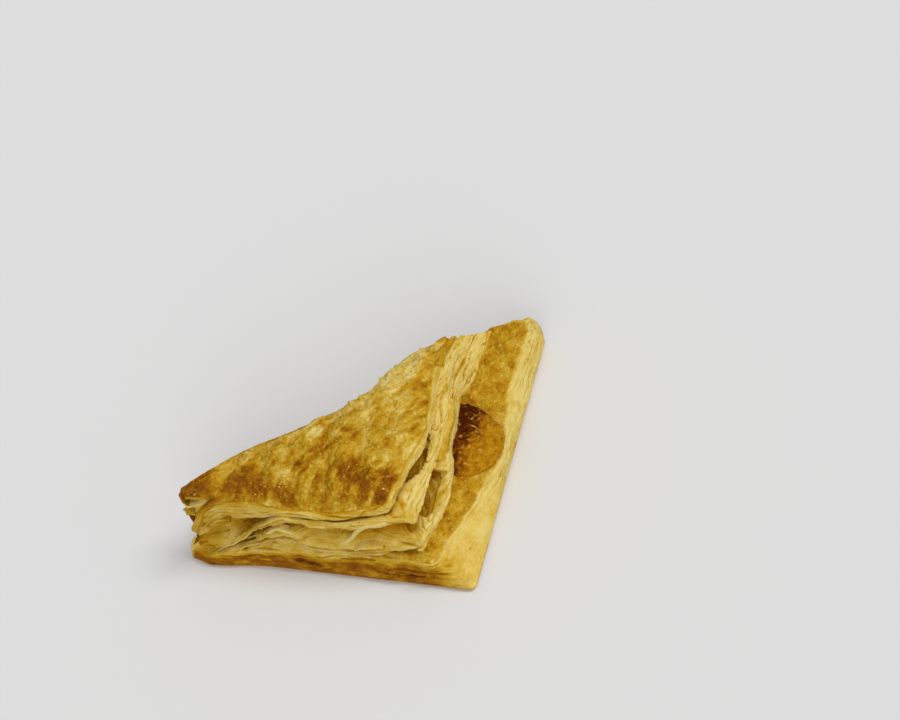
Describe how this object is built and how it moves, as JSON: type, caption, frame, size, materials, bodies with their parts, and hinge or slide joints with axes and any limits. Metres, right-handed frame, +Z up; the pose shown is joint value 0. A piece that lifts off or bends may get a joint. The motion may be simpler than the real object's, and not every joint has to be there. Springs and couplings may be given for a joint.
{
  "type": "turnover pastry",
  "caption": "Baked triangular turnover of folded puff pastry, with opened flaky side layers, a browned crust and fruit filling baked out at one cut side.",
  "frame": {"origin": "centre of the bounding box in plan, on the flat base the pastry rests on", "axes": "+X along the fold, towards the end where the lip is widest; +Y from the square corner towards the fold; +Z up through the crust"},
  "size_m": [0.1618, 0.0846, 0.0479],
  "materials": {
    "crust": "baked puff pastry, dry and flaky, egg-washed golden brown on top; matte_plastic stands in for pastry",
    "filling": "baked-out fruit filling, sticky and glossy caramel brown; gloss_plastic stands in for it"
  },
  "bodies": {
    "root": {"pastry": "crust", "filling": "filling"}
  },
  "joints": []
}
